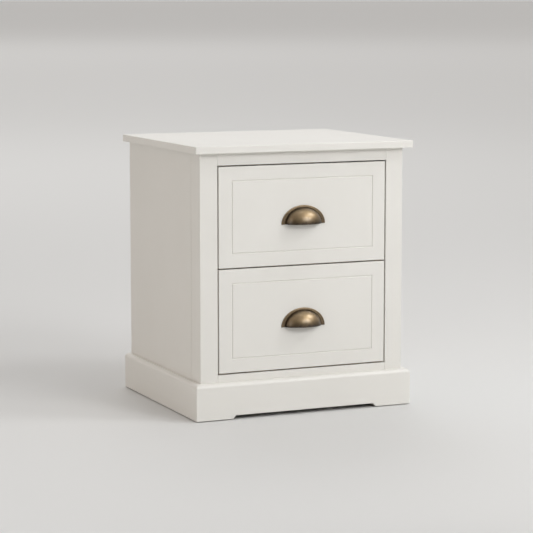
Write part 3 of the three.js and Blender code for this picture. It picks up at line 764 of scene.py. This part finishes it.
def makeFastenerTree(name, sunk, cross):
    tree, given = newTree(name, {
        "Head Radius": "Float", "Head Height": "Float", "Shank Radius": "Float",
        "Shank Length": "Float", "Seed": "Int", "Finish": "Material"})
    shape = fastenerShape
    wide, tall = given["Head Radius"], given["Head Height"]
    down = addNode(tree, "ShaderNodeMath", {0: tall, 1: -1}, operation="MULTIPLY").outputs[0]
    if sunk:
        cone = addNode(tree, "GeometryNodeMeshCone",
                       {"Vertices": shape["headSides"], "Radius Top": wide,
                        "Radius Bottom": given["Shank Radius"], "Depth": tall})
        below = addNode(tree, "ShaderNodeCombineXYZ", {2: down})
        head = addNode(tree, "GeometryNodeTransform",
                       {"Geometry": cone.outputs[0], "Translation": below.outputs[0]})
        face = addNode(tree, "ShaderNodeCombineXYZ")
    else:
        # a ball of radius 1 flattened below, steep at its side and nearly flat on top
        ball = addNode(tree, "GeometryNodeMeshUVSphere",
                       {"Segments": shape["headSides"], "Rings": shape["headRings"]})
        place = addNode(tree, "GeometryNodeInputPosition")
        xyz = addNode(tree, "ShaderNodeSeparateXYZ", {0: place.outputs[0]})
        above = addNode(tree, "ShaderNodeMath", {0: xyz.outputs[2], 1: 0}, operation="MAXIMUM")
        crown = addNode(tree, "ShaderNodeMath", {0: above.outputs[0], 1: shape["crown"]},
                        operation="POWER")
        x = addNode(tree, "ShaderNodeMath", {0: xyz.outputs[0], 1: wide}, operation="MULTIPLY")
        y = addNode(tree, "ShaderNodeMath", {0: xyz.outputs[1], 1: wide}, operation="MULTIPLY")
        z = addNode(tree, "ShaderNodeMath", {0: crown.outputs[0], 1: tall},
                    operation="MULTIPLY")
        moved = addNode(tree, "ShaderNodeCombineXYZ",
                        {0: x.outputs[0], 1: y.outputs[0], 2: z.outputs[0]})
        head = addNode(tree, "GeometryNodeSetPosition",
                       {"Geometry": ball.outputs[0], "Position": moved.outputs[0]})
        face = addNode(tree, "ShaderNodeCombineXYZ", {2: tall})
    if cross:
        long = addNode(tree, "ShaderNodeMath", {0: wide, 1: shape["crossLength"]},
                       operation="MULTIPLY")
        thin = addNode(tree, "ShaderNodeMath", {0: wide, 1: shape["crossWidth"]},
                       operation="MULTIPLY")
        cuts = []
        for first, second in ((long, thin), (thin, long)):
            size = addNode(tree, "ShaderNodeCombineXYZ",
                           {0: first.outputs[0], 1: second.outputs[0], 2: tall})
            bar = addNode(tree, "GeometryNodeMeshCube", {"Size": size.outputs[0]})
            cuts.append(addNode(tree, "GeometryNodeTransform",
                                {"Geometry": bar.outputs[0],
                                 "Translation": face.outputs[0]}).outputs[0])
        head = addNode(tree, "GeometryNodeMeshBoolean",
                       {0: head.outputs[0], 1: cuts}, operation="DIFFERENCE", solver="EXACT")
    shank = addNode(tree, "GeometryNodeMeshCylinder",
                    {"Vertices": shape["shankSides"], "Radius": given["Shank Radius"],
                     "Depth": given["Shank Length"]})
    sink = addNode(tree, "ShaderNodeMath",
                   {0: given["Shank Length"], 1: -0.5, 2: down if sunk else 0.0},
                   operation="MULTIPLY_ADD")
    under = addNode(tree, "ShaderNodeCombineXYZ", {2: sink.outputs[0]})
    lowered = addNode(tree, "GeometryNodeTransform",
                      {"Geometry": shank.outputs[0], "Translation": under.outputs[0]})
    whole = addNode(tree, "GeometryNodeJoinGeometry",
                    {0: [head.outputs[0], lowered.outputs[0]]})
    outward = addNode(tree, "GeometryNodeInputNamedAttribute", {0: "outward"},
                      data_type="FLOAT_VECTOR")
    facing = addNode(tree, "FunctionNodeAlignRotationToVector", {"Vector": outward.outputs[0]},
                     axis="Z")
    spin = addNode(tree, "FunctionNodeRandomValue",
                   {2: 0.0, 3: 2 * math.pi, 8: given["Seed"]}, data_type="FLOAT")
    twist = addNode(tree, "FunctionNodeAxisAngleToRotation",
                    {0: (0, 0, 1), 1: spin.outputs[1]})
    turned = addNode(tree, "FunctionNodeRotateRotation",
                     {0: facing.outputs[0], 1: twist.outputs[0]}, rotation_space="LOCAL")
    placed = addNode(tree, "GeometryNodeInstanceOnPoints",
                     {0: given["Geometry"], 2: whole.outputs[0], 5: turned.outputs[0]})
    closeTree(tree, given, placed.outputs[0])
    return tree


fastenerTrees = {
    "pan": makeFastenerTree("panHeadScrews", sunk=False, cross=True),
    "sunk": makeFastenerTree("countersunkScrews", sunk=True, cross=True),
    "pin": makeFastenerTree("panelPins", sunk=False, cross=False),
}

# head and shank in mm
fasteners = {
    "pullScrew": {"kind": "pan", "head": (4, 2.4), "shank": (2, 36), "seed": 3},
    "topScrew": {"kind": "sunk", "head": (4, 2.2), "shank": (2, 32.8), "seed": 5},
    "runnerScrew": {"kind": "pan", "head": (3.4, 1.5), "shank": (1.6, 10), "seed": 7},
    "postScrew": {"kind": "sunk", "head": (3.4, 1), "shank": (1.6, 12), "seed": 11},
    "panelPin": {"kind": "pin", "head": (1.5, 0.4), "shank": (0.6, 9), "seed": 13},
}


def addFasteners(name, kind, rows, body, nodes=()):
    sizes = fasteners[kind]
    mesh = runTree(pointsMesh(rows), fastenerTrees[sizes["kind"]], {
        "Head Radius": sizes["head"][0] * mm, "Head Height": sizes["head"][1] * mm,
        "Shank Radius": sizes["shank"][0] * mm, "Shank Length": sizes["shank"][1] * mm,
        "Seed": sizes["seed"], "Finish": finishes["zinc_plated_steel"]})
    finishPiece(name, mesh, "zinc_plated_steel", body, nodes, smoothAngle=40)


def addTopScrews():
    nodes = [f"top_screw_{row}_{side}" for row in ("front", "rear") for side, _ in sides]
    rows = []
    for node in nodes:
        low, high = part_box(node)
        rows.append((((low.x + high.x) / 2, (low.y + high.y) / 2, low.z), (0, 0, -1)))
    addFasteners("topScrews", "topScrew", rows, "cabinet", nodes)


# back panel: pinned round its edge, its face set in so that the pins' heads end at the body's back

backPanel = {"arris": 0.5, "pinEdge": 12, "pinPitch": 78}


def addBackPanel():
    low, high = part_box("back_panel")
    mesh = weldedCopy("back_panel")
    setIn = fasteners["panelPin"]["head"][1] * mm
    for v in mesh.vertices:
        v.co.y -= setIn if v.co.y > (low.y + high.y) / 2 else 0
    finishPiece("backPanel", mesh, "hardboard", "cabinet", ["back_panel"],
                arris=backPanel["arris"])
    edge, pitch = backPanel["pinEdge"] * mm, backPanel["pinPitch"] * mm
    x0, x1, z0, z1 = low.x + edge, high.x - edge, low.z + edge, high.z - edge
    across, up = round((x1 - x0) / pitch), round((z1 - z0) / pitch)
    places = [(x0 + (x1 - x0) * i / across, z) for z in (z0, z1) for i in range(across + 1)]
    places += [(x, z0 + (z1 - z0) * i / up) for x in (x0, x1) for i in range(1, up)]
    rows = [((x, high.y - setIn, z), (0, 1, 0)) for x, z in places]
    addFasteners("backPins", "panelPin", rows, "cabinet")


# slides: pressed steel members, screwed to the posts and to the drawers' sides

slide = {"arris": 0.2, "sheet": 1.2, "screwsAt": (22, 118, 232, 325)}


def addSlides():
    sheet = slide["sheet"] * mm
    for drawer in drawers:
        postRows, runnerRows = [], []
        for side, sign in sides:
            outer, inner = f"slide_outer_{drawer}_{side}", f"slide_inner_{drawer}_{side}"
            for node in (outer, inner):
                easedPiece(node, "zinc_plated_steel", slide["arris"])
            low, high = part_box(outer)
            level = (low.z + high.z) / 2
            postFace = max(abs(low.x), abs(high.x)) - sheet
            runnerFace = min(abs(corner.x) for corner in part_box(inner)) + sheet
            for distance in slide["screwsAt"]:
                y = low.y + distance * mm
                postRows.append(((sign * postFace, y, level), (-sign, 0, 0)))
                runnerRows.append(((sign * runnerFace, y, level), (sign, 0, 0)))
        addFasteners(f"{drawer}PostScrews", "postScrew", postRows, "cabinet")
        addFasteners(f"{drawer}RunnerScrews", "runnerScrew", runnerRows, f"{drawer}_drawer")


# ball cages: a folded strip with a row of balls along each flange

ballCage = {"sheet": 0.8, "reach": 6.7, "halfHeight": 14.6, "arris": 0.15, "ballRadius": 2,
            "ballSides": 16, "ballRings": 10, "ballCentre": 4.875, "pitch": 15, "balls": 6}


def makeBallTree():
    tree, given = newTree("ballRows", {
        "Balls": "Int", "Pitch": "Float", "Ball Radius": "Float", "Raceway": "Float",
        "First": "Vector", "Finish": "Material"})
    step = addNode(tree, "ShaderNodeCombineXYZ", {1: given["Pitch"]})
    line = addNode(tree, "GeometryNodeMeshLine",
                   {"Count": given["Balls"], "Start Location": given["First"],
                    "Offset": step.outputs[0]}, mode="OFFSET")
    rows = []
    for sign in (-1, 1):
        height = addNode(tree, "ShaderNodeMath", {0: given["Raceway"], 1: sign},
                         operation="MULTIPLY")
        shift = addNode(tree, "ShaderNodeCombineXYZ", {2: height.outputs[0]})
        rows.append(addNode(tree, "GeometryNodeTransform",
                            {"Geometry": line.outputs[0],
                             "Translation": shift.outputs[0]}).outputs[0])
    both = addNode(tree, "GeometryNodeJoinGeometry", {0: rows})
    ball = addNode(tree, "GeometryNodeMeshUVSphere",
                   {"Segments": ballCage["ballSides"], "Rings": ballCage["ballRings"],
                    "Radius": given["Ball Radius"]})
    placed = addNode(tree, "GeometryNodeInstanceOnPoints",
                     {0: both.outputs[0], 2: ball.outputs[0]})
    whole = addNode(tree, "GeometryNodeJoinGeometry", {0: [given["Geometry"], placed.outputs[0]]})
    closeTree(tree, given, whole.outputs[0])
    return tree


def addBallCages():
    tree = makeBallTree()
    sheet, reach, half = (ballCage[key] * mm for key in ("sheet", "reach", "halfHeight"))
    for drawer in drawers:
        for side, sign in sides:
            node = f"ball_cage_{drawer}_{side}"
            low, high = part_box(node)
            level = (low.z + high.z) / 2
            web = max(abs(low.x), abs(high.x))
            section = [(web, -half), (web - reach, -half), (web - reach, sheet - half),
                       (web - sheet, sheet - half), (web - sheet, half - sheet),
                       (web - reach, half - sheet), (web - reach, half), (web, half)]
            rings = [[(sign * x, y, level + z) for x, z in section] for y in (low.y, high.y)]
            run = (ballCage["balls"] - 1) * ballCage["pitch"] * mm
            first = (sign * (web - ballCage["ballCentre"] * mm), (low.y + high.y - run) / 2, level)
            mesh = runTree(tidyNormals(ringMesh(rings)), tree, {
                "Balls": ballCage["balls"], "Pitch": ballCage["pitch"] * mm,
                "Ball Radius": ballCage["ballRadius"] * mm, "Raceway": half - sheet / 2,
                "First": first, "Finish": finishes["zinc_plated_steel"]})
            finishPiece(camel(node), mesh, "zinc_plated_steel", bodyOf[node], [node],
                        arris=ballCage["arris"])


# drawer boxes: dovetailed boards, sanded, with a bottom in grooves

drawerBox = {"arris": 0.25}


def addDrawerBoxes():
    grainAlong = {"box_front": 0, "box_back": 0, "box_side_left": 1, "box_side_right": 1,
                  "box_bottom": 0}
    for drawer in drawers:
        for board, along in grainAlong.items():
            easedPiece(f"{drawer}_{board}", "birch", drawerBox["arris"], along)


# drawer fronts: one board, rounded round its face, with a shallow groove as a frame.
# Paint has filled the groove's corners, so its section is a smooth wave.

drawerFront = {"backArris": 0.8, "backSteps": 3, "faceRound": 1.2, "faceSteps": 6,
               "cornerRound": 1, "grooveMargin": 31.5, "grooveWidth": 3.6, "grooveDepth": 1.65,
               "grooveSteps": 12, "grooveCorner": 0.4}


def addDrawerFronts():
    look = drawerFront
    half = look["grooveWidth"] * mm / 2
    for drawer in drawers:
        node = f"{drawer}_front"
        low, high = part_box(node)
        corner = look["cornerRound"] * mm
        rows = [(inset, high.y - drop, corner - inset)
                for inset, drop in quarter(look["backArris"] * mm, look["backSteps"])]
        rows += [(inset, low.y + rise, corner - inset)
                 for inset, rise in quarter(look["faceRound"] * mm, look["faceSteps"])[::-1]]
        for i in range(look["grooveSteps"] + 1):
            offset = half * (2 * i / look["grooveSteps"] - 1)
            sunk = look["grooveDepth"] * mm * (1 + math.cos(math.pi * offset / half)) / 2
            inset = look["grooveMargin"] * mm + offset
            rows.append((inset, low.y + sunk, look["grooveCorner"] * mm))
        rings = []
        for inset, y, radius in rows:
            outline = roundedOutline((low.x + inset, low.z + inset),
                                     (high.x - inset, high.z - inset), radius)
            rings.append([(x, y, z) for x, z in outline])
        mesh = tidyNormals(ringMesh(rings))
        finishPiece(camel(node), mesh, "off_white_paint", bodyOf[node], [node])


# cup pulls: a cast quarter-dome on a flange, with a cove between them and a bead round the rim.
# Its brass is rubbed most on the dome's crown and the flange's rim, less down at their feet; this
# fall is also a painted highlight on the crown and the flange's top and painted shade at their feet.
# The flange's section is (share of its width, depth, rub) from the cove to the wall side.

pull = {"flangeSide": 9.5, "flangeTop": 6, "wall": 1.8, "cove": 1.5, "turns": 60,
        "outerSteps": 18, "innerSteps": 10, "lipSteps": 6, "bossRadius": 4.5,
        "bossAcross": 32, "bossUp": 12, "bossSegments": 20, "domeRub": 0.04, "crownRubAndHighlight": 0.8,
        "crownHighlightCurve": 1.5, "footRubInShade": 0.5, "insideRub": 0.1, "lipRub": 0.35,
        "flange": ((0.09, 1.85, 0.4), (0.2, 1.9, 0.4), (0.3, 2.2, 0.5), (0.38, 2.38, 0.5),
                   (0.52, 2.45, 0.6), (0.66, 2.38, 0.5), (0.73, 2.18, 0.2), (0.78, 2.2, 0.3),
                   (0.83, 2.42, 0.9), (0.89, 2.5, 1.1), (0.95, 2.36, 1.1), (0.99, 1.95, 0.9),
                   (1, 1.5, 0.4), (1, 0.3, 0.1), (0.98, 0, 0))}


# one section of the pull's wall, as (across, out, up, rub with painted light), at an angle from its
# right end over its crown to its left end
def pullSection(angle, flange, dome):
    wall, cove = pull["wall"] * mm, pull["cove"] * mm
    across, up = math.cos(angle), math.sin(angle)
    rim = wall / 2 * up

    def onDome(shrink, rise):
        wide, deep, tall = (size - shrink for size in dome)
        out = deep * up * math.cos(rise)
        # painted highlight on the dome's upper middle; its feet and flanks stay dark as painted shade
        crown = up * math.sin(2 * rise) ** pull["crownHighlightCurve"]
        rub = pull["domeRub"] + pull["crownRubAndHighlight"] * crown
        return wide * across, out, tall * up * math.sin(rise), rub

    lowest = math.asin(wall / 2 / dome[2])
    highest = max(lowest, math.acos(min(1, cove / max(dome[1] * up, 1e-9))))
    section = []
    for i in range(pull["outerSteps"] + 1):
        share = i / pull["outerSteps"]
        section.append(onDome(0, lowest + (highest - lowest) * share))
    # painted shade: the flange's rub falls towards its feet, so its top is lighter than its ends
    height = pull["footRubInShade"] + (1 - pull["footRubInShade"]) * up
    for share, depth, rub in pull["flange"]:
        wide = dome[0] + (flange[0] - dome[0]) * share
        tall = dome[2] + (flange[1] - dome[2]) * share
        section.append((wide * across, depth * mm, tall * up, rub * height))
    for i in range(pull["innerSteps"] + 1):
        share = 1 - i / pull["innerSteps"]
        x, out, z, _ = onDome(wall, lowest + (math.pi / 2 - lowest) * share)
        section.append((x, out, z, pull["insideRub"]))
    middle = (dome[1] - wall / 2) * up
    for i in range(1, pull["lipSteps"]):
        turn = math.pi * i / pull["lipSteps"]
        section.append(((dome[0] - wall / 2) * across, middle - rim * math.cos(turn),
                        rim - rim * math.sin(turn), pull["lipRub"]))
    return section


# a boss that stands on the drawer front and ends inside the dome's wall
def pullBoss(side, dome):
    middle = Vector((side * pull["bossAcross"] * mm, pull["bossUp"] * mm))
    wide, deep, tall = (size - pull["wall"] * mm / 2 for size in dome)
    rings = [[], []]
    for i in range(pull["bossSegments"]):
        turn = 2 * math.pi * i / pull["bossSegments"]
        place = middle + Vector((math.cos(turn), math.sin(turn))) * pull["bossRadius"] * mm
        left = max(0, 1 - (place.x / wide) ** 2 - (place.y / tall) ** 2)
        rings[0].append((place.x, 0, place.y, 0))
        rings[1].append((place.x, deep * math.sqrt(left), place.y, 0))
    return rings


def addPulls():
    for drawer in drawers:
        node = f"{drawer}_pull"
        low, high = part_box(node)
        middle = (low.x + high.x) / 2
        flange = ((high.x - low.x) / 2, high.z - low.z)
        dome = (flange[0] - pull["flangeSide"] * mm, high.y - low.y,
                flange[1] - pull["flangeTop"] * mm)
        sections = [pullSection(math.pi * i / pull["turns"], flange, dome)
                    for i in range(pull["turns"] + 1)]
        work = bmesh.new()
        for rings in (sections, pullBoss(-1, dome), pullBoss(1, dome)):
            mesh = ringMesh([[(middle + across, high.y - out, low.z + up)
                              for across, out, up, _ in ring] for ring in rings])
            # the rub values hold painted highlight and painted shade as well as real rubbing and
            # patina
            attributeOf(mesh, "rub", "FLOAT", [point[3] for ring in rings for point in ring])
            work.from_mesh(tidyNormals(mesh))
        mesh = meshFrom([])
        work.to_mesh(mesh)
        work.free()
        finishPiece(camel(node), mesh, "antique_brass", bodyOf[node], [node])


def addPullScrews():
    headHeight = fasteners["pullScrew"]["head"][1] * mm
    for drawer in drawers:
        nodes = [f"{drawer}_pull_screw_{side}" for side, _ in sides]
        rows = []
        for node in nodes:
            low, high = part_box(node)
            place = ((low.x + high.x) / 2, high.y - headHeight, (low.z + high.z) / 2)
            rows.append((place, (0, 1, 0)))
        addFasteners(f"{drawer}PullScrews", "pullScrew", rows, f"{drawer}_drawer", nodes)


addBoards()
addTopBoard()
addPlinth()
addInsideTimber()
addGlides()
addTopScrews()
addBackPanel()
print("body made")
addSlides()
addBallCages()
print("slides made")
addDrawerBoxes()
addDrawerFronts()
addPulls()
addPullScrews()
print("drawers made")
